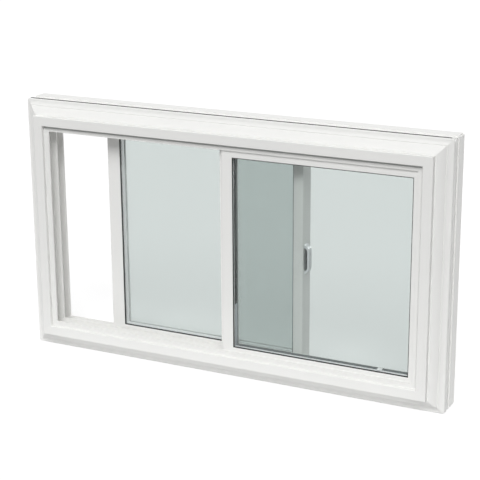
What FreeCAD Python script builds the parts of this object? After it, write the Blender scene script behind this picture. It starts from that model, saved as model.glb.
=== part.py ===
"""Horizontal sliding window: a mitred frame, one fixed panel and one sliding sash.

X runs along the window, Y from the outside face to the room, Z up.
The origin is under the middle of the sill, at half the frame's depth. Sizes are in millimetres.
"""
import math
import os

import FreeCAD
import Part
import Sketcher

SIZES = [
    ("overall_width", 914.4, "outside width of the frame"),
    ("overall_height", 533.4, "outside height of the frame"),
    ("frame_depth", 84.0, "outside face to room face"),
    ("frame_face", 50.0, "outer edge to the inner edge of the front lip"),
    ("flat_face", 20.0, "flat band of the front lip"),
    ("edge_radius", 1.5, "rounding of the extruded edges"),
    ("quirk_depth", 11.0, "front face back to the foot of the flat band"),
    ("quirk_width", 2.0, "floor of the quirk beside the flat band"),
    ("ovolo_width", 14.5, "rounded member of the moulding, across the face"),
    ("ovolo_rise", 10.0, "rounded member of the moulding, front to back"),
    ("ovolo_radius", 40.0, "curve of the rounded member"),
    ("fillet_step", 1.5, "small step behind the rounded member"),
    ("fillet_width", 2.0, "flat fillet between the rounded member and the cove"),
    ("cove_rise", 4.0, "cove between the fillet and the nose, front to back"),
    ("cove_radius", 12.0, "curve of the cove"),
    ("nose_radius", 2.5, "rounding of the nose"),
    ("nose_back", 30.0, "front face to the back of the nose"),
    ("corner_radius", 6.0, "rounding of the nose at the frame's corners"),
    ("seam_width", 3.5, "seal groove behind the nose"),
    ("seam_depth", 6.0, "depth of that groove"),
    ("weld_notch", 2.5, "weld groove at the frame's corners, behind the nose"),
    ("channel_front", 40.0, "front face to the shallow channel in the outer side"),
    ("channel_width", 14.0, "shallow channel, front to back"),
    ("channel_depth", 2.5, "shallow channel, below the outer side"),
    ("lip_depth", 7.7, "depth of the front lip"),
    ("wall", 3.0, "thickness of the glazing leg, centre fin and rear leg"),
    ("leg_reach", 11.0, "glazing leg past the front lip"),
    ("fixed_play", 0.5, "room behind the fixed panel in its pocket"),
    ("front_floor", 41.0, "outer edge to the floor of the fixed panel's pocket"),
    ("fin_reach", 6.0, "centre fin past the front lip"),
    ("rear_floor", 31.0, "outer edge to the floor of the sash's pocket"),
    ("rear_leg_drop", 3.5, "rear leg, short of the front lip"),
    ("rail_width", 28.0, "rails and side stiles, across the face"),
    ("meeting_width", 22.5, "meeting stiles, across the face"),
    ("glass_bite", 10.0, "front stop of a rail over the glass"),
    ("stop_depth", 4.0, "front stop of a rail, front to back"),
    ("gasket_depth", 1.0, "glazing gasket between the glass and what holds it"),
    ("gasket_show", 1.0, "outer gasket past the front stop"),
    ("gasket_lip", 3.0, "lip of the outer gasket beside the front stop, front to back"),
    ("inner_show", 0.5, "inner gasket past the glazing bead"),
    ("glass_thickness", 3.0, "one sheet of glass"),
    ("bead_depth", 9.0, "glazing bead, front to back"),
    ("spacer_width", 9.0, "spacer bar, from the edge of the glass"),
    ("edge_gap", 2.0, "edge of the glass to the rail"),
    ("bead_slope", 6.0, "sloping face of a glazing bead, front to back"),
    ("bead_height", 11.5, "glazing bead over the glass"),
    ("bead_foot", 4.0, "upright edge of a glazing bead"),
    ("fixed_left", 2.6, "fixed panel's free edge, left of the middle"),
    ("fixed_head_gap", 6.0, "fixed panel to the floor of the head's pocket"),
    ("sash_lift", 3.5, "sash above the floor of the sill's pocket"),
    ("sash_head_gap", 10.0, "sash to the floor of the head's pocket"),
    ("sash_front_gap", 2.0, "centre fin to the sash"),
    ("sash_back_gap", 2.0, "sash to the rear leg"),
    ("sash_closed_gap", 8.0, "closed sash to the floor of the jamb's pocket"),
    ("slide_open", 137.0, "sash, moved right from its closed place"),
    ("interlock_width", 7.5, "interlock beside the fixed panel's free edge"),
    ("interlock_front", 9.0, "fixed panel's face back to the interlock"),
    ("hook_wall", 1.4, "thickness of the interlock hooks"),
    ("hook_reach", 11.0, "length of the interlock hooks"),
    ("hook_gap", 1.1, "hook to the panel that it lies beside"),
    ("interlock_end_gap", 1.5, "ends of the interlocks to the centre fin"),
    ("pull_height", 60.0, "finger pull, top to bottom"),
    ("pull_reach", 10.0, "finger pull, out from the stile"),
    ("pull_bar", 3.4, "bar of the finger pull"),
    ("pull_bend", 13.0, "height of each bent end of the finger pull"),
    ("pull_radius", 14.0, "curve of the bent ends"),
    ("pull_foot", 5.5, "height of each foot of the finger pull"),
    ("pull_depth", 14.0, "finger pull, front to back"),
    ("pull_front_gap", 2.0, "sash's front face to the finger pull"),
    ("pull_level", 261.0, "height of the finger pull's middle"),
    ("latch_height", 22.0, "latch plate behind the pull, top to bottom"),
    ("latch_depth", 12.0, "latch plate, front to back"),
    ("latch_thickness", 0.8, "latch plate, out from the stile"),
    ("glide_length", 44.0, "sash glide, end to end"),
    ("glide_depth", 16.0, "sash glide, front to back"),
    ("glide_inset", 52.0, "end of the sash to the middle of a glide"),
    ("cut_margin", 2.0, "how far the mitre cuts run past the bars"),
]


class Dim:
    """A length that keeps both its value and the sheet expression that it came from."""

    def __init__(self, value, text):
        self.value = value
        self.text = text

    def _joined(self, sign, other, value):
        right = other.text if isinstance(other, Dim) else repr(other)
        return Dim(value, "(%s %s %s)" % (self.text, sign, right))

    def __add__(self, other):
        return self._joined("+", other, self.value + plain(other))

    def __sub__(self, other):
        return self._joined("-", other, self.value - plain(other))

    def __mul__(self, other):
        return self._joined("*", other, self.value * plain(other))

    def __truediv__(self, other):
        return self._joined("/", other, self.value / plain(other))

    def __neg__(self):
        return self * -1


def plain(number):
    """The value of a Dim, or a plain number as it is."""
    return number.value if isinstance(number, Dim) else number


def fill_sheet(doc):
    """Write the driving sizes into a spreadsheet and return them by name."""
    sheet = doc.addObject("Spreadsheet::Sheet", "Sizes")
    named = {}
    for row, (alias, value, note) in enumerate(SIZES, start=1):
        sheet.set("A%d" % row, note)
        sheet.set("B%d" % row, repr(value))
        sheet.setAlias("B%d" % row, alias)
        named[alias] = Dim(value, "Sizes." + alias)
    doc.recompute()
    return named


doc = FreeCAD.newDocument("sliding_window")
S = fill_sheet(doc)
PANEL_DEPTH = (S["frame_depth"] - S["lip_depth"] - S["wall"] * 3 - S["fixed_play"]
               - S["sash_front_gap"] - S["sash_back_gap"]) / 2
FRONT_POCKET = PANEL_DEPTH + S["fixed_play"]
SPACER_DEPTH = (PANEL_DEPTH - S["stop_depth"] - S["gasket_depth"] * 2 - S["glass_thickness"] * 2
                - S["bead_depth"])
ZERO = S["wall"] * 0
parts = []


def add_sketch(body, name, role):
    """A sketch on one of the body's own origin planes."""
    sketch = body.newObject("Sketcher::SketchObject", name)
    plane = next(f for f in body.Origin.OriginFeatures if f.Role == role)
    sketch.AttachmentSupport = (plane, [""])
    sketch.MapMode = "FlatFace"
    return sketch


def arc_between(start, end, radius, turn):
    """The short arc from start to end: turn is 1 for anticlockwise, -1 for clockwise."""
    chord = end - start
    rise = math.sqrt(max(radius ** 2 - (chord.Length / 2) ** 2, 0.0))
    normal = FreeCAD.Vector(-chord.y, chord.x, 0).normalize()
    centre = (start + end) / 2 + normal * rise * turn
    first, last = (start, end) if turn > 0 else (end, start)
    angles = [math.atan2(p.y - centre.y, p.x - centre.x) for p in (first, last)]
    return Part.ArcOfCircle(Part.Circle(centre, FreeCAD.Vector(0, 0, 1), radius), *angles)


def draw_loop(sketch, corners):
    """Draw a closed outline whose corners and arc radii are bound to the sheet.

    A corner is (x, y), or (x, y, radius, turn) where an arc leads to the next corner.
    """
    first = sketch.GeometryCount
    spots = [FreeCAD.Vector(c[0].value, c[1].value, 0) for c in corners]
    ends = []
    for number, corner in enumerate(corners):
        start, end = spots[number], spots[(number + 1) % len(spots)]
        if len(corner) == 4:
            radius, turn = corner[2], corner[3]
            line = sketch.addGeometry(arc_between(start, end, radius.value, turn))
            ends.append((1, 2) if turn > 0 else (2, 1))
            place = sketch.addConstraint(Sketcher.Constraint("Radius", line, radius.value))
            sketch.setExpression("Constraints[%d]" % place, radius.text)
        else:
            sketch.addGeometry(Part.LineSegment(start, end))
            ends.append((1, 2))
    for number, corner in enumerate(corners):
        line, after = first + number, first + (number + 1) % len(corners)
        follow = ends[(number + 1) % len(corners)][0]
        sketch.addConstraint(Sketcher.Constraint("Coincident", line, ends[number][1], after, follow))
        for kind, length in (("DistanceX", corner[0]), ("DistanceY", corner[1])):
            rule = Sketcher.Constraint(kind, -1, 1, line, ends[number][0], length.value)
            place = sketch.addConstraint(rule)
            sketch.setExpression("Constraints[%d]" % place, length.text)


def box_loop(low_x, low_y, high_x, high_y):
    """Corners of a rectangle."""
    return [(low_x, low_y), (high_x, low_y), (high_x, high_y), (low_x, high_y)]


def new_body(name, base, turn=0):
    """A body with its place bound to the sheet, turned about Y."""
    body = doc.addObject("PartDesign::Body", name)
    body.Label = name
    body.Placement = FreeCAD.Placement(FreeCAD.Vector(), FreeCAD.Rotation(FreeCAD.Vector(0, 1, 0), turn))
    for axis, length in zip("xyz", base):
        body.setExpression("Placement.Base." + axis, length.text)
    parts.append(body)
    return body


def add_pad(body, sketch, length, side="Symmetric"):
    """Pad a sketch by a length, half to each side or all along the sketch's normal."""
    pad = body.newObject("PartDesign::Pad", sketch.Name + "_pad")
    pad.Profile = sketch
    pad.SideType = side
    pad.setExpression("Length", length.text)
    return pad


def cut_through(body, sketch, side):
    """Cut a sketch's outlines right through a body, to both sides or towards the back."""
    pocket = body.newObject("PartDesign::Pocket", sketch.Name + "_cut")
    pocket.Profile = sketch
    pocket.Type = "ThroughAll"
    pocket.SideType = side


def mitred_bar(name, profile, length, reach, runs, base, turn):
    """An extruded bar with both ends cut on a slant.

    In the bar's own frame X is its length, Y its depth from the front and Z goes inwards
    from its outer edge. The profile is drawn in Y and Z, and reaches Z = reach, where the
    cut at each end, low X first, has come in by its run.
    """
    body = new_body(name, base, turn)
    section = add_sketch(body, name + "_section", "YZ_Plane")
    draw_loop(section, profile)
    add_pad(body, section, length)
    mitres = add_sketch(body, name + "_mitres", "XZ_Plane")
    past, end = S["cut_margin"], length / 2
    low, high = -past, reach + past
    left, right = runs[0] / reach, runs[1] / reach
    draw_loop(mitres, [(end + right * past, low), (end + right * past, high), (end - right * high, high)])
    draw_loop(mitres, [(-end - left * past, low), (left * high - end, high), (-end - left * past, high)])
    cut_through(body, mitres, "Symmetric")
    return body


def four_bars(names, profiles, widths, panel):
    """The bottom, top, left and right bars of a mitred rectangle, each with its own width."""
    low_x, high_x, low_z, high_z, front = panel
    bottom, top, left, right = widths
    middle_x, middle_z = (low_x + high_x) / 2, (low_z + high_z) / 2
    wide, tall = high_x - low_x, high_z - low_z
    sides = [(middle_x, low_z, wide, (left, right), 0), (middle_x, high_z, wide, (right, left), 180),
             (low_x, middle_z, tall, (top, bottom), 90), (high_x, middle_z, tall, (bottom, top), -90)]
    bars = []
    for name, profile, reach, (x, z, length, runs, turn) in zip(names, profiles, widths, sides):
        bar = mitred_bar(name, profile, length, reach, runs, (x, front, z), turn)
        bars.append((bar, length))
    return bars


def rings(name, panel, back, layers):
    """Flat rectangular rings inside a panel, all padded forwards from one depth.

    A layer is (outer, inner, depth), where outer and inner are set in from the panel's edge.
    """
    low_x, high_x, low_z, high_z, face = panel
    body = new_body(name, ((low_x + high_x) / 2, face + back, (low_z + high_z) / 2))
    for number, (outer, inner, depth) in enumerate(layers, start=1):
        sketch = add_sketch(body, "%s_outline_%d" % (name, number), "XZ_Plane")
        for inset in (outer, inner):
            half_x, half_z = (high_x - low_x) / 2 - inset, (high_z - low_z) / 2 - inset
            draw_loop(sketch, box_loop(-half_x, -half_z, half_x, half_z))
        add_pad(body, sketch, depth, "One side")


def bind_all(thing, sizes):
    """Bind a primitive's sizes and place to the sheet, and keep it as a piece."""
    for path, length in sizes:
        thing.setExpression(path, length.text)
    parts.append(thing)


def sheet_of_glass(name, panel, inset, front):
    """One sheet of glass inside a panel."""
    low_x, high_x, low_z, high_z, face = panel
    pane = doc.addObject("Part::Box", name)
    pane.Label = name
    sizes = (("Length", high_x - low_x - inset * 2), ("Width", S["glass_thickness"]),
             ("Height", high_z - low_z - inset * 2), ("Placement.Base.x", low_x + inset),
             ("Placement.Base.y", face + front), ("Placement.Base.z", low_z + inset))
    bind_all(pane, sizes)


def frame_profile():
    """Section of the frame: depth from the front, and distance inwards from the outer edge."""
    depth, wall, edge = S["frame_depth"], S["wall"], S["edge_radius"]
    lip = S["frame_face"]
    leg_back = S["lip_depth"] + wall
    fin_front = leg_back + FRONT_POCKET
    fin_back = fin_front + wall
    rear_leg = lip - S["rear_leg_drop"]
    face_edge = lip - S["flat_face"]
    ovolo_start = face_edge - S["quirk_width"]
    ovolo_end = ovolo_start - S["ovolo_width"]
    ovolo_back = S["quirk_depth"] + S["ovolo_rise"]
    fillet_front = ovolo_back + S["fillet_step"]
    fillet_end = ovolo_end - S["fillet_width"]
    nose_front = fillet_front + S["cove_rise"]
    nose = S["nose_radius"]
    seam_back = S["nose_back"] + S["seam_width"]
    channel_back = S["channel_front"] + S["channel_width"]
    return [
        (depth, ZERO), (depth, rear_leg), (depth - wall, rear_leg),
        (depth - wall, S["rear_floor"]), (fin_back, S["rear_floor"]),
        (fin_back, lip + S["fin_reach"]), (fin_front, lip + S["fin_reach"]),
        (fin_front, S["front_floor"]), (leg_back, S["front_floor"]),
        (leg_back, lip + S["leg_reach"]), (S["lip_depth"], lip + S["leg_reach"]),
        (S["lip_depth"], lip), (edge, lip, edge, 1), (ZERO, lip - edge),
        (ZERO, face_edge + edge, edge, 1), (edge, face_edge),
        (S["quirk_depth"], face_edge), (S["quirk_depth"], ovolo_start, S["ovolo_radius"], 1),
        (ovolo_back, ovolo_end), (fillet_front, ovolo_end),
        (fillet_front, fillet_end, S["cove_radius"], -1),
        (nose_front, nose, nose, 1), (nose_front + nose, ZERO), (S["nose_back"], ZERO),
        (S["nose_back"], S["seam_depth"]), (seam_back, S["seam_depth"]),
        (seam_back, ZERO), (S["channel_front"], ZERO),
        (S["channel_front"], S["channel_depth"]), (channel_back, S["channel_depth"]),
        (channel_back, ZERO),
    ]


def finish_corners(bar, length):
    """Round the nose at both ends of a frame bar, and cut the weld groove behind it."""
    past, end = S["cut_margin"], length / 2
    rounding, notch = S["corner_radius"], S["weld_notch"]
    nose = add_sketch(bar, bar.Name + "_nose_ends", "XZ_Plane")
    draw_loop(nose, [(end - rounding, ZERO, rounding, 1), (end, rounding), (end + past, rounding),
                     (end + past, -past), (end - rounding, -past)])
    draw_loop(nose, [(-end, rounding, rounding, 1), (rounding - end, ZERO), (rounding - end, -past),
                     (-end - past, -past), (-end - past, rounding)])
    pocket = bar.newObject("PartDesign::Pocket", nose.Name + "_cut")
    pocket.Profile = nose
    pocket.setExpression("Length", (S["nose_back"] + S["seam_width"] / 2).text)
    weld = add_sketch(bar, bar.Name + "_weld_ends", "XZ_Plane")
    weld.setExpression("AttachmentOffset.Base.z", (-S["nose_back"] - S["seam_width"] / 2).text)
    draw_loop(weld, box_loop(end - notch, -past, end + past, notch))
    draw_loop(weld, box_loop(-end - past, -past, notch - end, notch))
    cut_through(bar, weld, "One side")


def rail_profile(width):
    """Section of a rail or stile: the glass lies behind its front stop, under a bead."""
    edge = S["edge_radius"]
    rebate = width - S["glass_bite"]
    return [
        (edge, ZERO), (PANEL_DEPTH, ZERO), (PANEL_DEPTH, rebate), (S["stop_depth"], rebate),
        (S["stop_depth"], width), (edge, width, edge, 1), (ZERO, width - edge), (ZERO, edge, edge, 1),
    ]


def bead_profile():
    """Section of a glazing bead, which stands on the rebate and holds the glass."""
    front = PANEL_DEPTH - S["bead_depth"]
    top = S["bead_height"]
    return [
        (front, ZERO), (PANEL_DEPTH, ZERO), (PANEL_DEPTH, S["bead_foot"]),
        (PANEL_DEPTH - S["bead_slope"], top), (front, top),
    ]


def glazed_panel(prefix, panel, stiles, left, right):
    """A mitred panel with its sealed glass unit, gaskets and beads.

    Left and right are the widths of its stiles.
    """
    rail, bite = S["rail_width"], S["glass_bite"]
    rails = [prefix + "_bottom_rail", prefix + "_top_rail"] + [prefix + "_" + name for name in stiles]
    widths = [rail, rail, left, right]
    four_bars(rails, [rail_profile(width) for width in widths], widths, panel)
    low_x, high_x, low_z, high_z, face = panel
    rebate = (low_x + left - bite, high_x - right + bite, low_z + rail - bite, high_z - rail + bite, face)
    beads = [prefix + "_bead_" + side for side in ("bottom", "top", "left", "right")]
    four_bars(beads, [bead_profile()] * 4, [S["bead_height"]] * 4, rebate)
    outer_glass = S["stop_depth"] + S["gasket_depth"]
    spacer_back = outer_glass + S["glass_thickness"] + SPACER_DEPTH
    edge, shown = S["edge_gap"], bite + S["gasket_show"]
    rings(prefix + "_gasket", rebate, outer_glass,
          [(edge, shown, S["gasket_depth"]), (bite, shown, S["gasket_depth"] + S["gasket_lip"])])
    sheet_of_glass(prefix + "_outer_glass", rebate, edge, outer_glass)
    rings(prefix + "_spacer", rebate, spacer_back, [(edge, edge + S["spacer_width"], SPACER_DEPTH)])
    sheet_of_glass(prefix + "_inner_glass", rebate, edge, spacer_back)
    rings(prefix + "_inner_gasket", rebate, PANEL_DEPTH - S["bead_depth"],
          [(edge, S["bead_height"] + S["inner_show"], S["gasket_depth"])])


def upright_strip(name, section, low_z, high_z, x, y):
    """A strip of constant section that stands between two heights."""
    body = new_body(name, (x, y, (low_z + high_z) / 2))
    sketch = add_sketch(body, name + "_section", "XY_Plane")
    draw_loop(sketch, section)
    add_pad(body, sketch, high_z - low_z)


def interlocks(fixed, sash):
    """Hooked strips on the two meeting stiles, which engage when the sash is closed."""
    wall, reach = S["hook_wall"], S["hook_reach"]
    low = S["frame_face"] + S["fin_reach"] + S["interlock_end_gap"]
    high = S["overall_height"] - low
    back = PANEL_DEPTH - S["interlock_front"]
    tip = back + S["hook_gap"] * 2 + wall
    width = S["interlock_width"]
    section = [(ZERO, ZERO), (width, ZERO), (width, back), (wall, back), (wall, tip),
               (reach, tip), (reach, tip + wall), (ZERO, tip + wall)]
    upright_strip("fixed_interlock", section, low, high, fixed[0] - width, fixed[4] + S["interlock_front"])
    out = sash[4] - fixed[4] - PANEL_DEPTH - S["hook_gap"]
    section = [(ZERO, -out), (ZERO, wall - out), (reach - wall, wall - out), (reach - wall, ZERO),
               (reach, ZERO), (reach, -out)]
    upright_strip("sash_interlock", section, low, high, sash[1] - reach, sash[4])


def finger_pull(sash):
    """A bow that the fingers reach behind, on the meeting stile's free side, over the latch plate."""
    half, reach = S["pull_height"] / 2, S["pull_reach"]
    bend = half - S["pull_bend"]
    inner = reach - S["pull_bar"]
    gap = half - S["pull_foot"]
    round_end = S["pull_radius"]
    middle = sash[4] + S["pull_front_gap"] + S["pull_depth"] / 2
    body = new_body("sash_pull", (sash[1], middle, S["pull_level"]))
    sketch = add_sketch(body, "sash_pull_outline", "XZ_Plane")
    draw_loop(sketch, [
        (ZERO, -half, round_end, 1), (reach, -bend), (reach, bend, round_end, 1), (ZERO, half),
        (ZERO, gap, round_end, -1), (inner, bend), (inner, -bend, round_end, -1), (ZERO, -gap),
    ])
    add_pad(body, sketch, S["pull_depth"])
    plate = doc.addObject("Part::Box", "sash_latch_plate")
    plate.Label = "sash_latch_plate"
    sizes = (("Length", S["latch_thickness"]), ("Width", S["latch_depth"]), ("Height", S["latch_height"]),
             ("Placement.Base.x", sash[1]),
             ("Placement.Base.y", sash[4] + S["pull_front_gap"] + (S["pull_depth"] - S["latch_depth"]) / 2),
             ("Placement.Base.z", S["pull_level"] - S["latch_height"] / 2))
    bind_all(plate, sizes)


def glides(sash):
    """Two glides under the sash, which carry it on the floor of the sill's pocket."""
    half, depth = S["glide_length"] / 2, S["glide_depth"] / 2
    places = (("left", sash[0] + S["glide_inset"]), ("right", sash[1] - S["glide_inset"]))
    for side, x in places:
        body = new_body("sash_glide_" + side, (x, sash[4] + PANEL_DEPTH / 2, sash[2] - S["sash_lift"] / 2))
        sketch = add_sketch(body, "glide_%s_outline" % side, "XY_Plane")
        run = half - depth
        draw_loop(sketch, [(-run, -depth), (run, -depth, depth, 1), (run + depth, ZERO, depth, 1),
                           (run, depth), (-run, depth, depth, 1), (-run - depth, ZERO, depth, 1)])
        add_pad(body, sketch, S["sash_lift"])


def build():
    """Make every piece of the window."""
    half_width = S["overall_width"] / 2
    face = -S["frame_depth"] / 2
    frame = (-half_width, half_width, ZERO, S["overall_height"], face)
    names = ["frame_sill", "frame_head", "frame_left_jamb", "frame_right_jamb"]
    reach = S["frame_face"] + S["leg_reach"]
    for bar, length in four_bars(names, [frame_profile()] * 4, [reach] * 4, frame):
        finish_corners(bar, length)
    leg_back = face + S["lip_depth"] + S["wall"]
    fixed = (-S["fixed_left"], half_width - S["front_floor"], S["front_floor"],
             S["overall_height"] - S["front_floor"] - S["fixed_head_gap"], leg_back)
    glazed_panel("fixed", fixed, ["meeting_stile", "jamb_stile"], S["meeting_width"], S["rail_width"])
    sash_left = S["rear_floor"] + S["sash_closed_gap"] - half_width + S["slide_open"]
    sash_right = S["meeting_width"] - S["fixed_left"] + S["slide_open"]
    sash_front = leg_back + FRONT_POCKET + S["wall"] + S["sash_front_gap"]
    sash = (sash_left, sash_right, S["rear_floor"] + S["sash_lift"],
            S["overall_height"] - S["rear_floor"] - S["sash_head_gap"], sash_front)
    glazed_panel("sash", sash, ["lead_stile", "meeting_stile"], S["rail_width"], S["meeting_width"])
    interlocks(fixed, sash)
    finger_pull(sash)
    glides(sash)


def check_and_export():
    """Stop at any failed object or bad solid, then write each piece to its own file."""
    doc.recompute()
    for thing in doc.Objects:
        if "Invalid" in thing.State or "Error" in thing.State:
            raise RuntimeError("%s failed: %s" % (thing.Name, thing.State))
    for piece in parts:
        shape = piece.Shape
        if shape.isNull() or not shape.isValid() or len(shape.Solids) != 1:
            raise RuntimeError("%s is not one valid solid" % piece.Label)
    os.makedirs("parts", exist_ok=True)
    for piece in parts:
        piece.Shape.exportStep("parts/%s.step" % piece.Label)
    print("wrote %d pieces" % len(parts))


build()
check_and_export()
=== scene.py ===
"""Looks of a white vinyl horizontal sliding window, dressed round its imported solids.

X runs along the window, Y from the outside face to the room and Z up, in metres, as in the frame.
Sizes that the classes hold are in millimetres, and turn to metres where a mesh or a node takes them.
"""
import logging
import math
from collections.abc import Callable
from dataclasses import dataclass
from enum import Enum

import bpy
from mathutils import Euler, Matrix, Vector

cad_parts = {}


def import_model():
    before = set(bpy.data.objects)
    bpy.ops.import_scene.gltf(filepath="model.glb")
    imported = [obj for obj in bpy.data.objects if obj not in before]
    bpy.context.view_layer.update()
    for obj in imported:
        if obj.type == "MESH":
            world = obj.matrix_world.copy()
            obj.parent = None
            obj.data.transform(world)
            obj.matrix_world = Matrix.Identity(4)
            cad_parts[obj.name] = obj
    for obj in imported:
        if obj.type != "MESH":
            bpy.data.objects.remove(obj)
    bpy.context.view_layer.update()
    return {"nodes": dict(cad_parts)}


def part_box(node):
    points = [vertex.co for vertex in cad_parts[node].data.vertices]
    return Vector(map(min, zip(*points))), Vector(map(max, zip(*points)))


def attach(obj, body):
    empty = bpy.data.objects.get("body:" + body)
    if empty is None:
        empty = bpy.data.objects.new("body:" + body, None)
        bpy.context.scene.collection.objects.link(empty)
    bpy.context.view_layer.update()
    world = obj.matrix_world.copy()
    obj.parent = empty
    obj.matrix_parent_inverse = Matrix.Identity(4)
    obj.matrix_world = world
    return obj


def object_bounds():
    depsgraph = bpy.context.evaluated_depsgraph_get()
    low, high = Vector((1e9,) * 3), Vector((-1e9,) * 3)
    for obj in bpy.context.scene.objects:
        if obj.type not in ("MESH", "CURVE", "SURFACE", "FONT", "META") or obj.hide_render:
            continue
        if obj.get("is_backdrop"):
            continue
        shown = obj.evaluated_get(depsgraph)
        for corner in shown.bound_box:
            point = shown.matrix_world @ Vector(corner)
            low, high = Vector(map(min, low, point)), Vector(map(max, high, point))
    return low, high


LOG = logging.getLogger("sliding_window")
MM = 0.001
# An edge is picked for rounding if it lies this nearly along an axis, or this near to its place.
ALIGNED = 0.9
NEAR_M = 0.1 * MM
SMOOTH_DEG = 40.0


class Run(Enum):
    """The way that a bar was extruded, which its die lines follow."""

    LEVEL = "level"
    UPRIGHT = "upright"


def linear(hex_colour: str) -> tuple[float, float, float, float]:
    """Turn an sRGB hex colour into the linear colour that a shader takes.

    Args:
        hex_colour: six hex digits, with or without a leading #.

    Returns:
        Red, green, blue and alpha, linear, with alpha 1.
    """
    digits = hex_colour.lstrip("#")
    shares = [int(digits[i:i + 2], 16) / 255 for i in (0, 2, 4)]
    red, green, blue = [s / 12.92 if s <= 0.04045 else ((s + 0.055) / 1.055) ** 2.4 for s in shares]
    return red, green, blue, 1.0


def add_node(tree: bpy.types.NodeTree, kind: str, settings: dict | None = None,
             inputs: dict | None = None) -> bpy.types.Node:
    """Add one node with its settings and links.

    Args:
        tree: the node tree that gets the node.
        kind: the node's Blender type name.
        settings: the node's own properties by name.
        inputs: sockets by name or number, each with a value or an output socket to link from.

    Returns:
        The new node.
    """
    node = tree.nodes.new(kind)
    for name, value in (settings or {}).items():
        setattr(node, name, value)
    for socket, value in (inputs or {}).items():
        if isinstance(value, bpy.types.NodeSocket):
            tree.links.new(value, node.inputs[socket])
        else:
            node.inputs[socket].default_value = value
    return node


def per_metre(size_mm: float) -> float:
    """Pattern scale, in repeats per metre, of a feature of that size in millimetres."""
    return 1 / (size_mm * MM)


class Surface:
    """One material with a single Principled shader, and the object coordinates that patterns read."""

    def __init__(self, name: str, **sockets: object) -> None:
        """Start the material.

        Args:
            name: the material's name.
            sockets: values for the shader's own sockets, with _ for each space in a socket's name.
        """
        self.material = bpy.data.materials.new(name)
        self.material.use_nodes = True
        self.tree = self.material.node_tree
        self.shader = self.tree.nodes["Principled BSDF"]
        for socket, value in sockets.items():
            self.shader.inputs[socket.replace("_", " ")].default_value = value
        self.place = self.add("ShaderNodeTexCoord").outputs["Object"]

    def add(self, kind: str, settings: dict | None = None, inputs: dict | None = None) -> bpy.types.Node:
        """Add a node to this material, as add_node does."""
        return add_node(self.tree, kind, settings, inputs)

    def drive(self, socket: str, source: bpy.types.NodeSocket) -> None:
        """Link a pattern to one of the shader's sockets."""
        self.tree.links.new(source, self.shader.inputs[socket])


@dataclass(frozen=True)
class ExtrudedVinyl:
    """Rigid PVC pushed through a polished die: a satin white with faint lines along the bar."""

    name: str
    colour: str
    shade: str
    roughness: float = 0.38
    gloss_drift: float = 0.06
    die_line_mm: float = 2.4
    die_length_mm: float = 420.0
    die_relief_mm: float = 0.02
    die_relief_share: float = 0.35
    cloud_mm: float = 85.0
    detail: float = 2.0
    break_up: float = 0.55
    ior: float = 1.53

    def material(self, run: Run) -> bpy.types.Material:
        """Make the finish for bars that run one way.

        Args:
            run: the way that the bars were extruded.

        Returns:
            The material.
        """
        surface = Surface(f"{self.name}_{run.value}", IOR=self.ior)
        along = per_metre(self.die_length_mm)
        across = per_metre(self.die_line_mm)
        stretch = (along, across, across) if run is Run.LEVEL else (across, across, along)
        # The real die lines are finer than a pixel, so they are drawn about 2 mm apart to show at all.
        mapped = surface.add("ShaderNodeMapping", inputs={"Vector": surface.place, "Scale": stretch})
        lines = surface.add("ShaderNodeTexNoise", inputs={
            "Vector": mapped.outputs[0], "Scale": 1.0, "Detail": self.detail, "Roughness": self.break_up})
        clouds = surface.add("ShaderNodeTexNoise", inputs={
            "Vector": surface.place, "Scale": per_metre(self.cloud_mm), "Detail": self.detail})
        tint = surface.add("ShaderNodeMix", {"data_type": "RGBA"}, {
            0: clouds.outputs["Fac"], 6: linear(self.colour), 7: linear(self.shade)})
        surface.drive("Base Color", tint.outputs[2])
        gloss = surface.add("ShaderNodeMapRange", inputs={
            "Value": clouds.outputs["Fac"], "To Min": self.roughness - self.gloss_drift,
            "To Max": self.roughness + self.gloss_drift})
        surface.drive("Roughness", gloss.outputs[0])
        relief = surface.add("ShaderNodeBump", inputs={
            "Height": lines.outputs["Fac"], "Strength": self.die_relief_share,
            "Distance": self.die_relief_mm * MM})
        surface.drive("Normal", relief.outputs[0])
        return surface.material


@dataclass(frozen=True)
class FloatGlass:
    """Float glass, fire polished: clear with a grey green body, and slow roller waves in its faces.

    Its index is set low, as a coated sheet's looks, because bare glass would veil what lies behind it.
    """

    name: str
    colour: str
    ior: float = 1.28
    wave_mm: float = 160.0
    wave_relief_mm: float = 0.004
    wave_relief_share: float = 0.2
    haze_mm: float = 40.0
    haze_detail: float = 3.0
    haze_starts: float = 0.45
    haze_peaks: float = 0.8
    haze_roughness: float = 0.02

    def material(self) -> bpy.types.Material:
        """Make the glass, with tinted transmission and a breath of haze."""
        surface = Surface(self.name, Base_Color=linear(self.colour), IOR=self.ior, Transmission_Weight=1.0)
        waves = surface.add("ShaderNodeTexNoise", inputs={
            "Vector": surface.place, "Scale": per_metre(self.wave_mm), "Detail": 0.0})
        relief = surface.add("ShaderNodeBump", inputs={
            "Height": waves.outputs["Fac"], "Strength": self.wave_relief_share,
            "Distance": self.wave_relief_mm * MM})
        surface.drive("Normal", relief.outputs[0])
        haze = surface.add("ShaderNodeTexNoise", inputs={
            "Vector": surface.place, "Scale": per_metre(self.haze_mm), "Detail": self.haze_detail})
        film = surface.add("ShaderNodeMapRange", inputs={
            "Value": haze.outputs["Fac"], "From Min": self.haze_starts, "From Max": self.haze_peaks,
            "To Min": 0.0, "To Max": self.haze_roughness})
        surface.drive("Roughness", film.outputs[0])
        return surface.material


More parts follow.
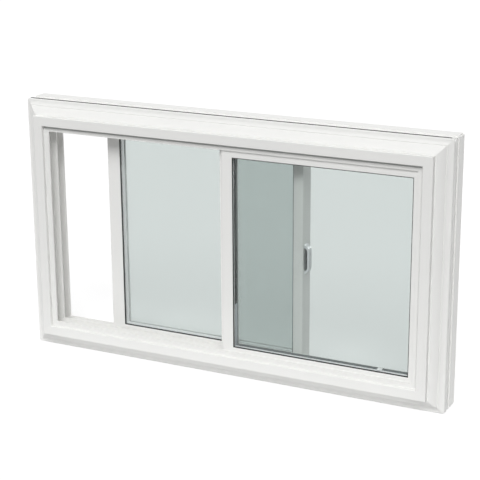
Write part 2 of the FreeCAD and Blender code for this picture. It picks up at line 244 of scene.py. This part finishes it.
@dataclass(frozen=True)
class GrainedFinish:
    """A moulded or rolled surface whose grain breaks its colour, gloss and relief."""

    name: str
    colour: str
    shade: str
    roughness: float
    grain_mm: float
    relief_mm: float
    gloss_drift: float = 0.08
    metallic: float = 0.0
    ior: float = 1.5
    detail: float = 3.0
    relief_share: float = 0.5

    def material(self) -> bpy.types.Material:
        """Make the finish, with one grain that drives colour, gloss and relief."""
        surface = Surface(self.name, Metallic=self.metallic, IOR=self.ior)
        grain = surface.add("ShaderNodeTexNoise", inputs={
            "Vector": surface.place, "Scale": per_metre(self.grain_mm), "Detail": self.detail})
        tint = surface.add("ShaderNodeMix", {"data_type": "RGBA"}, {
            0: grain.outputs["Fac"], 6: linear(self.colour), 7: linear(self.shade)})
        surface.drive("Base Color", tint.outputs[2])
        gloss = surface.add("ShaderNodeMapRange", inputs={
            "Value": grain.outputs["Fac"], "To Min": self.roughness - self.gloss_drift,
            "To Max": self.roughness + self.gloss_drift})
        surface.drive("Roughness", gloss.outputs[0])
        relief = surface.add("ShaderNodeBump", inputs={
            "Height": grain.outputs["Fac"], "Strength": self.relief_share,
            "Distance": self.relief_mm * MM})
        surface.drive("Normal", relief.outputs[0])
        return surface.material


FRAME_VINYL = ExtrudedVinyl("extruded_upvc_frame", "#EEEEEC", "#EAEAE8", roughness=0.42)
PANEL_VINYL = ExtrudedVinyl("extruded_upvc_panel", "#EFEFED", "#EBEBE9")
PANE_GLASS = FloatGlass("float_glass_grey_green", "#E4E8E7")
# Extruded EPDM: near black, with a dull sheen and a bloom of fine grain. It also dresses the cord that
# paints the shade in the groove behind the frame's nose.
GASKET_AND_GROOVE_SHADE = GrainedFinish("epdm_gasket", "#0F1110", "#181B1A",
                       roughness=0.62, grain_mm=1.2, relief_mm=0.03)
# Soft PVC run on to the fixed panel's beads: mid grey and matt.
GREY_LIP = GrainedFinish("soft_pvc_lip_grey", "#9FA4A2", "#949997",
                         roughness=0.55, grain_mm=2.0, relief_mm=0.02)
# Painted shadow under the head's lip: a light grey strip, matt, that renders darker still in the lip's
# shade.
LIP_SHADOW_GREY = GrainedFinish("soft_pvc_strip_grey", "#B0B2B0", "#A6A8A6",
                          roughness=0.55, grain_mm=2.0, relief_mm=0.02)
# Soft PVC run on to the sash's beads: white like the bead, but matt.
WHITE_LIP = GrainedFinish("soft_pvc_lip_white", "#E9EAEA", "#E1E3E2",
                          roughness=0.55, grain_mm=2.0, relief_mm=0.02)
# Roll-formed aluminium under white lacquer: a thin coat, so a little of the metal's sheen comes through.
SPACER = GrainedFinish("lacquered_aluminium_spacer", "#F4F6F6", "#ECEEEE",
                       roughness=0.4, grain_mm=5.0, relief_mm=0.02, metallic=0.05)
# Moulded acetal: a harder, glossier white than the extrusions, with a slight sink in its skin.
PULL = GrainedFinish("moulded_acetal_pull", "#EDEEF0", "#E4E5E8",
                     roughness=0.24, grain_mm=7.0, relief_mm=0.02, ior=1.48)
# Moulded nylon: black, with the even spark of a textured tool; its black also paints the shade in the hole
# behind the pull.
LATCH_AND_PULL_SHADE = GrainedFinish("textured_black_nylon", "#141514", "#1E1F1E",
                      roughness=0.5, grain_mm=0.8, relief_mm=0.03)
# Painted shade of the mortise behind the pull: grey, dull and even.
PULL_RECESS_SHADE = GrainedFinish("moulded_grey_nylon", "#636665", "#6D706F",
                       roughness=0.6, grain_mm=1.5, relief_mm=0.02)
# Painted dark reflection on the fixed spacer's upright face: black, smooth with soft dents.
SPACER_DARK_REFLECTION = GrainedFinish("black_butyl_film", "#0B0D0C", "#131514",
                     roughness=0.5, grain_mm=6.0, relief_mm=0.02)
# Painted lighter reflection on the fixed spacer's upright face, below the dark one: a cool mid grey with
# soft streaks.
SPACER_GREY_REFLECTION = GrainedFinish("dull_aluminium_strip", "#AEB2B6", "#A1A5A9",
                           roughness=0.5, grain_mm=4.0, relief_mm=0.02, metallic=0.3)
# Butyl bead between spacer and sheet: a cool grey, matt and slightly uneven.
SEALANT = GrainedFinish("grey_butyl_bead", "#6A6F71", "#606668",
                        roughness=0.55, grain_mm=3.0, relief_mm=0.02)
# Moulded nylon: natural and milky, with drag marks from the sill.
GLIDE = GrainedFinish("natural_nylon_glide", "#E2E0D8", "#D6D3C9",
                      roughness=0.45, grain_mm=3.0, relief_mm=0.03)


class Workbench:
    """The few hand moves that the scene's own pieces are modelled with."""

    @staticmethod
    def block(name: str, low_mm: Vector, high_mm: Vector) -> bpy.types.Object:
        """Add a block between two corners, with its place in its mesh.

        Args:
            name: the piece's name.
            low_mm: lowest corner, in millimetres.
            high_mm: highest corner, in millimetres.

        Returns:
            The new piece.
        """
        bpy.ops.object.select_all(action="DESELECT")
        bpy.ops.mesh.primitive_cube_add(size=1, location=(low_mm + high_mm) / 2 * MM,
                                        scale=(high_mm - low_mm) * MM)
        piece = bpy.context.object
        piece.name = piece.data.name = name
        bpy.ops.object.transform_apply(location=True, rotation=True, scale=True)
        return piece

    @staticmethod
    def round_edges(piece: bpy.types.Object, wanted: Callable[[Vector, Vector], bool], radius_mm: float,
                    segments: int = 3) -> None:
        """Bevel the edges that a rule picks.

        Args:
            piece: the piece to shape.
            wanted: takes an edge's middle and its direction, in metres, and says if it is rounded.
            radius_mm: width of the bevel.
            segments: faces across the bevel.
        """
        mesh = piece.data
        mesh.polygons.foreach_set("select", [False] * len(mesh.polygons))
        mesh.vertices.foreach_set("select", [False] * len(mesh.vertices))
        for edge in mesh.edges:
            start, end = (mesh.vertices[i].co for i in edge.vertices)
            edge.select = wanted((start + end) / 2, (end - start).normalized())
        bpy.ops.object.select_all(action="DESELECT")
        piece.select_set(True)
        bpy.context.view_layer.objects.active = piece
        bpy.ops.object.mode_set(mode="EDIT")
        bpy.ops.mesh.select_mode(type="EDGE")
        bpy.ops.mesh.bevel(offset=radius_mm * MM, segments=segments, affect="EDGES")
        bpy.ops.object.mode_set(mode="OBJECT")
        bpy.ops.object.shade_smooth_by_angle(angle=math.radians(SMOOTH_DEG))


def dress(piece: bpy.types.Object, material: bpy.types.Material) -> None:
    """Give a piece its finish.

    Args:
        piece: the piece.
        material: the finish that covers it.
    """
    if piece.material_slots:
        for holder in piece.material_slots:
            holder.material = material
    else:
        piece.data.materials.append(material)
    LOG.info("%s dressed in %s", piece.name, material.name)


def hand_over(piece: bpy.types.Object, material: bpy.types.Material) -> None:
    """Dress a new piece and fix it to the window.

    Args:
        piece: the piece.
        material: the finish.
    """
    dress(piece, material)
    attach(piece, "root")


@dataclass
class OuterFrame:
    """The mitred frame of four bars of one moulded section."""

    solids: dict
    vinyl: ExtrudedVinyl = FRAME_VINYL

    def finish(self) -> None:
        """Dress the bars, each with die lines along its own length."""
        level = self.vinyl.material(Run.LEVEL)
        upright = self.vinyl.material(Run.UPRIGHT)
        bars = {"sill": level, "head": level, "left_jamb": upright, "right_jamb": upright}
        for side, material in bars.items():
            dress(self.solids[f"frame_{side}"], material)


class Side(Enum):
    """A side of the frame: the axis that it faces along, and the way."""

    HEAD = ("z", 1)
    SILL = ("z", -1)
    LEFT = ("x", -1)
    RIGHT = ("x", 1)


@dataclass
class GrooveShadeCord:
    """A black cord in the groove behind the frame's nose, in four lengths, that paints the groove's shade.
    """

    groove_front_mm: float = 30.0
    groove_width_mm: float = 3.5
    groove_depth_mm: float = 6.0
    side_room_mm: float = 0.1
    short_of_corner_mm: float = 7.0
    crown_mm: float = 1.3
    crown_faces: int = 4
    proud_head_mm: float = 1.0
    proud_jamb_mm: float = -0.9
    proud_sill_mm: float = -0.4

    def lay(self, material: bpy.types.Material) -> None:
        """Lay the four lengths: a full one on the head, slimmer ones on the jambs and under the sill.

        Args:
            material: the cord's finish.
        """
        low, high = (Vector(corner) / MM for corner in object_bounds())
        front = low.y + self.groove_front_mm + self.side_room_mm
        back = low.y + self.groove_front_mm + self.groove_width_mm - self.side_room_mm
        proud = {Side.HEAD: self.proud_head_mm, Side.SILL: self.proud_sill_mm,
                 Side.LEFT: self.proud_jamb_mm, Side.RIGHT: self.proud_jamb_mm}
        for side in Side:
            axis, way = side.value
            along = "x" if axis == "z" else "z"
            edge = getattr(high if way > 0 else low, axis)
            start, end = Vector((0, front, 0)), Vector((0, back, 0))
            setattr(start, along, getattr(low, along) + self.short_of_corner_mm)
            setattr(end, along, getattr(high, along) - self.short_of_corner_mm)
            setattr(start, axis, edge - way * self.groove_depth_mm)
            setattr(end, axis, edge + way * proud[side])
            corners = [Vector(map(pick, start, end)) for pick in (min, max)]
            cord = Workbench.block(f"seal_cord_{side.name.lower()}", *corners)
            crown = (edge + way * proud[side]) * MM
            Workbench.round_edges(cord, lambda middle, line: abs(getattr(middle, axis) - crown) < NEAR_M
                                  and abs(getattr(line, along)) > ALIGNED, self.crown_mm, self.crown_faces)
            hand_over(cord, material)


@dataclass
class LipShadowStrip:
    """A grey strip in the corner under the head's lip, which paints the lip's shadow there."""

    lip_depth_mm: float = 7.7
    lip_level_mm: float = 50.0
    corner_mm: float = 51.5
    drop_mm: float = 4.2
    thickness_mm: float = 0.8
    round_mm: float = 0.5

    def lay(self, material: bpy.types.Material) -> None:
        """Lay the painted shadow strip from one jamb to the other, with its lower front edge rounded.

        Args:
            material: the strip's finish.
        """
        low, high = (Vector(corner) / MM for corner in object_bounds())
        back, top = low.y + self.lip_depth_mm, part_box("frame_head")[1][2] / MM - self.lip_level_mm
        foot, front = top - self.drop_mm, back - self.thickness_mm
        strip = Workbench.block("head_drip_strip", Vector((low.x + self.corner_mm, front, foot)),
                                Vector((high.x - self.corner_mm, back, top)))
        nose = Vector((0, front, foot)) * MM
        Workbench.round_edges(strip, lambda middle, line: abs(line.x) > ALIGNED
                              and (middle - nose).length < NEAR_M, self.round_mm)
        hand_over(strip, material)


@dataclass
class SpacerFittings:
    """The facings of the fixed panel's spacer, two of which paint its reflection, and the key that joins
    the spacer's ends.
    """

    bar_mm: float = 9.0
    dark_reflection_foot_mm: float = 158.0
    facing_thickness_mm: float = 0.2
    facing_corner_mm: float = 0.8
    band_front_share: float = 0.42
    key_left_mm: float = 322.0
    key_width_mm: float = 9.0
    key_height_mm: float = 2.2
    key_round_mm: float = 0.6

    def fit(self, film: bpy.types.Material, metal: bpy.types.Material, bead: bpy.types.Material,
            key: bpy.types.Material) -> None:
        """Face the upright bar with a painted reflection, dark above and grey below, the level bar with a
        band, and set the key on it.

        Args:
            film: finish of the painted dark reflection.
            metal: finish of the painted grey reflection.
            bead: finish of the band along the inner sheet.
            key: finish of the key.
        """
        low, high = (Vector(corner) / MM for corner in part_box("fixed_spacer"))
        face, floor = low.x + self.bar_mm, low.z + self.bar_mm
        # The upright bar's two facings paint its reflection: dark above the foot and grey below it.
        strips = (("fixed_spacer_film", self.dark_reflection_foot_mm, high.z - self.bar_mm, film, "gasket_rubber"),
                  ("fixed_spacer_strip", floor, self.dark_reflection_foot_mm, metal, "spacer_metal"))
        for name, foot, top, material, slot in strips:
            strip = Workbench.block(name, Vector((face, low.y, foot)),
                                    Vector((face + self.facing_thickness_mm, high.y, top)))
            Workbench.round_edges(strip, lambda middle, line: abs(line.x) > ALIGNED, self.facing_corner_mm)
            hand_over(strip, material)
        band_front = low.y + self.band_front_share * (high.y - low.y)
        band = Workbench.block("fixed_spacer_band", Vector((face, band_front, floor)),
                               Vector((high.x - self.bar_mm, high.y, floor + self.facing_thickness_mm)))
        Workbench.round_edges(band, lambda middle, line: abs(line.z) > ALIGNED, self.facing_corner_mm)
        hand_over(band, bead)
        crown = floor + self.key_height_mm
        plug = Workbench.block("fixed_spacer_key", Vector((self.key_left_mm, low.y, floor)),
                               Vector((self.key_left_mm + self.key_width_mm, high.y, crown)))
        Workbench.round_edges(plug, lambda middle, line: abs(middle.z - crown * MM) < NEAR_M,
                              self.key_round_mm)
        hand_over(plug, key)


@dataclass
class GlazedPanel:
    """A welded panel with its sealed glass unit, gasket, spacer and glazing beads."""

    solids: dict
    panel: str
    stiles: tuple[str, str]

    def finish(self, level: bpy.types.Material, upright: bpy.types.Material, glass: bpy.types.Material,
               gasket: bpy.types.Material, spacer: bpy.types.Material, lip: bpy.types.Material) -> None:
        """Dress the panel.

        Args:
            level: vinyl for the rails and level beads.
            upright: vinyl for the stiles, interlock and upright beads.
            glass: finish of both sheets.
            gasket: finish of the glazing gasket.
            spacer: finish of the spacer bar.
            lip: finish of the soft lip inside the beads.
        """
        sheets = ("outer_glass", "inner_glass")
        finishes = {level: ("bottom_rail", "top_rail", "bead_bottom", "bead_top"),
                    upright: (*self.stiles, "interlock", "bead_left", "bead_right"),
                    glass: sheets, gasket: ("gasket",), spacer: ("spacer",), lip: ("inner_gasket",)}
        for material, names in finishes.items():
            for name in names:
                dress(self.solids[f"{self.panel}_{name}"], material)
        for name in sheets:
            sheet = self.solids[f"{self.panel}_{name}"]
            # Light that falls through clear glass keeps nearly all of its strength on what lies behind.
            sheet.visible_shadow = False
            sheet.visible_diffuse = False


@dataclass
class SashHardware:
    """The finger pull, latch plate and glides of the sliding sash."""

    solids: dict
    recess_foot_mm: float = 5.8
    recess_thickness_mm: float = 0.4
    recess_inset_mm: float = 1.0
    recess_corner_mm: float = 3.0
    recess_corner_faces: int = 4

    def finish(self) -> None:
        """Dress each small piece in its own moulding, and line the wall behind the pull with painted shade.
        """
        nylon = GLIDE.material()
        dress(self.solids["sash_pull"], PULL.material())
        # The latch plate is black nylon, and its black also paints the shade in the hole behind the pull.
        dress(self.solids["sash_latch_plate"], LATCH_AND_PULL_SHADE.material())
        dress(self.solids["sash_glide_left"], nylon)
        dress(self.solids["sash_glide_right"], nylon)
        low, high = (Vector(corner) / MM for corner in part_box("sash_pull"))
        inset, foot = self.recess_inset_mm, self.recess_foot_mm
        # The grey liner paints the shade in the mortise behind the pull.
        liner = Workbench.block(
            "sash_pull_recess", Vector((low.x, low.y + inset, low.z + foot)),
            Vector((low.x + self.recess_thickness_mm, high.y - inset, high.z - foot)))
        Workbench.round_edges(liner, lambda middle, line: abs(line.x) > ALIGNED, self.recess_corner_mm,
                              self.recess_corner_faces)
        hand_over(liner, PULL_RECESS_SHADE.material())


@dataclass(frozen=True)
class FarLamp:
    """A broad lamp far away, whose bearing turns from straight in front round to the right.

    Its strength is what a white card that faces it sends back, where 1 is white.
    """

    name: str
    strength: float
    elevation_deg: float
    right_deg: float
    spread_deg: float

    def hang(self) -> None:
        """Hang the lamp and turn it to the window."""
        lamp = bpy.data.lights.new(self.name, "SUN")
        lamp.energy = self.strength * math.pi
        lamp.angle = math.radians(self.spread_deg)
        height, side = math.radians(self.elevation_deg), math.radians(self.right_deg)
        towards = Vector((math.sin(side) * math.cos(height), -math.cos(side) * math.cos(height),
                          math.sin(height)))
        holder = bpy.data.objects.new(self.name, lamp)
        holder.rotation_euler = towards.to_track_quat("Z", "Y").to_euler()
        bpy.context.scene.collection.objects.link(holder)


@dataclass
class Studio:
    """A white floor, a soft sky, a broad key lamp and a fill behind, as in a plain product studio.

    What the floor gives the window is a painted pool of light, near white along the sill and greyer further
    off, and a strip along the sill that glows to light the window though it is no lamp. The sky's three
    slopes are added to its level straight up, behind and on the right.
    """

    floor_half_width_m: float = 30.0
    floor_glow: float = 0.77
    floor_catch: float = 0.3
    # A painted pool of light: the paper that the window feels is palest near the sill.
    painted_pool_near: float = 0.66
    painted_pool_far: float = 0.3
    painted_pool_reach_m: float = 1.0
    # A strip along the sill glows and lights the window, though it is no lamp.
    foot_glow: float = 0.42
    foot_start_m: float = 0.025
    foot_near_m: float = 0.05
    foot_far_m: float = 0.12
    foot_full_m: float = 0.36
    foot_end_m: float = 0.45
    sky_level: float = 0.45
    sky_top: float = -0.06
    sky_back: float = 0.15
    sky_right: float = -0.36
    key: FarLamp = FarLamp("soft_key", 0.74, elevation_deg=45.0, right_deg=21.0, spread_deg=30.0)
    fill: FarLamp = FarLamp("soft_fill", 0.28, elevation_deg=8.0, right_deg=156.0, spread_deg=8.0)

    @staticmethod
    def seen(tree: bpy.types.NodeTree) -> bpy.types.NodeSocket:
        """A socket that is 1 for what eye, gloss and glass see, and 0 for what lights the object.

        Args:
            tree: the node tree that gets the Light Path nodes.

        Returns:
            The socket.
        """
        path = add_node(tree, "ShaderNodeLightPath").outputs
        eye = add_node(tree, "ShaderNodeMath", {"operation": "MAXIMUM"}, {
            0: path["Is Camera Ray"], 1: path["Is Glossy Ray"]})
        return add_node(tree, "ShaderNodeMath", {"operation": "MAXIMUM"}, {
            0: eye.outputs[0], 1: path["Is Transmission Ray"]}).outputs[0]

    def lay_floor(self) -> None:
        """Lay the floor: white with a light shadow to the eye, and to the window a painted pool of light,
        palest near the sill, with a strip there that glows to light it.
        """
        bpy.ops.object.select_all(action="DESELECT")
        bpy.ops.mesh.primitive_plane_add(size=2 * self.floor_half_width_m)
        floor = bpy.context.object
        floor.name = "studio_floor"
        paint = Surface("matt_floor_paint")
        tree = paint.tree
        tree.nodes.remove(paint.shader)
        glow = paint.add("ShaderNodeEmission", inputs={"Strength": self.floor_glow})
        catch = paint.add("ShaderNodeBsdfDiffuse", inputs={"Color": (*[self.floor_catch] * 3, 1)})
        shown = paint.add("ShaderNodeAddShader", inputs={0: glow.outputs[0], 1: catch.outputs[0]})
        axes = paint.add("ShaderNodeSeparateXYZ", inputs={0: paint.place}).outputs
        away, across = (paint.add("ShaderNodeMath", {"operation": "ABSOLUTE"}, {0: axes[axis]}).outputs[0]
                        for axis in ("Y", "X"))
        # Where each fade is measured, where it starts and ends, and its value at both.
        fades = ((away, 0.0, self.painted_pool_reach_m, self.painted_pool_near, self.painted_pool_far),
                 (away, self.foot_near_m, self.foot_far_m, self.foot_glow, 0.0),
                 (away, self.foot_start_m, self.foot_near_m, 0.0, 1.0),
                 (across, self.foot_full_m, self.foot_end_m, 1.0, 0.0))
        shade, lift, start, ends = (paint.add("ShaderNodeMapRange", {"interpolation_type": "SMOOTHSTEP"}, {
            "Value": place, "From Min": near, "From Max": far, "To Min": first, "To Max": last}).outputs[0]
            for place, near, far, first, last in fades)
        # The paper paints a pool of light near the sill, and the foot strip glows to light the window.
        paper = paint.add("ShaderNodeBsdfDiffuse", inputs={"Color": shade})
        strip = paint.add("ShaderNodeMath", {"operation": "MULTIPLY"}, {0: start, 1: ends})
        strength = paint.add("ShaderNodeMath", {"operation": "MULTIPLY"}, {0: lift, 1: strip.outputs[0]})
        foot = paint.add("ShaderNodeEmission", inputs={"Strength": strength.outputs[0]})
        felt = paint.add("ShaderNodeAddShader", inputs={0: paper.outputs[0], 1: foot.outputs[0]})
        mixed = paint.add("ShaderNodeMixShader", inputs={
            0: self.seen(tree), 1: felt.outputs[0], 2: shown.outputs[0]})
        tree.links.new(mixed.outputs[0], tree.nodes["Material Output"].inputs["Surface"])
        dress(floor, paint.material)
        floor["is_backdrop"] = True

    def light_sky(self) -> None:
        """Light the scene from a soft sky, brighter behind and on the left, and plain white to the eye."""
        world = bpy.data.worlds.new("studio_sky")
        bpy.context.scene.world = world
        world.use_nodes = True
        tree = world.node_tree
        way = add_node(tree, "ShaderNodeTexCoord").outputs["Generated"]
        axes = add_node(tree, "ShaderNodeSeparateXYZ", inputs={0: way}).outputs
        level = self.sky_level
        for axis, slope in (("Z", self.sky_top), ("Y", self.sky_back), ("X", self.sky_right)):
            level = add_node(tree, "ShaderNodeMath", {"operation": "MULTIPLY_ADD"}, {
                0: axes[axis], 1: slope, 2: level}).outputs[0]
        strength = add_node(tree, "ShaderNodeMix", {"data_type": "FLOAT"}, {
            0: self.seen(tree), 2: level, 3: 1.0})
        sky = tree.nodes["Background"]
        sky.inputs["Color"].default_value = (1, 1, 1, 1)
        tree.links.new(strength.outputs[0], sky.inputs["Strength"])


@dataclass
class PhotoCamera:
    """The photograph's camera, fitted to the straight edges of the frame."""

    azimuth_deg: float = 26.349
    elevation_deg: float = 17.011
    roll_deg: float = 0.407
    lens_mm: float = 104.645
    sensor_mm: float = 36.0
    place_mm: tuple[float, float, float] = (1189.76, -2358.87, 1090.51)

    def stand(self) -> None:
        """Stand the camera where the photograph was taken from."""
        data = bpy.data.cameras.new("photo_camera")
        data.lens = self.lens_mm
        data.sensor_width = self.sensor_mm
        camera = bpy.data.objects.new("photo_camera", data)
        turn = Euler((math.radians(90 - self.elevation_deg), 0, math.radians(self.azimuth_deg))).to_matrix()
        roll = Euler((0, 0, math.radians(-self.roll_deg))).to_matrix()
        camera.matrix_world = (turn @ roll).to_4x4()
        camera.location = Vector(self.place_mm) * MM
        bpy.context.scene.collection.objects.link(camera)
        bpy.context.scene.camera = camera


def main() -> None:
    """Load the solids, dress each sub-assembly, then set the studio and the camera."""
    logging.basicConfig(level=logging.INFO, format="%(name)s: %(message)s")
    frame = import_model()
    solids = frame["nodes"]
    bpy.context.scene.view_settings.view_transform = "Standard"

    OuterFrame(solids).finish()
    level, upright = PANEL_VINYL.material(Run.LEVEL), PANEL_VINYL.material(Run.UPRIGHT)
    glass, gasket, spacer = PANE_GLASS.material(), GASKET_AND_GROOVE_SHADE.material(), SPACER.material()
    panels = (("fixed", ("meeting_stile", "jamb_stile"), GREY_LIP),
              ("sash", ("lead_stile", "meeting_stile"), WHITE_LIP))
    for panel, stiles, lip in panels:
        GlazedPanel(solids, panel, stiles).finish(level, upright, glass, gasket, spacer, lip.material())
    SashHardware(solids).finish()
    # The black cord paints the shade in the groove behind the frame's nose.
    GrooveShadeCord().lay(gasket)
    # The grey strip paints the shadow under the head's lip.
    LipShadowStrip().lay(LIP_SHADOW_GREY.material())
    # The spacer's upright facings paint its reflection, dark above and grey below.
    SpacerFittings().fit(SPACER_DARK_REFLECTION.material(), SPACER_GREY_REFLECTION.material(), SEALANT.material(), spacer)

    studio = Studio()
    studio.lay_floor()
    studio.light_sky()
    studio.key.hang()
    studio.fill.hang()
    PhotoCamera().stand()


if __name__ == "__main__":
    main()
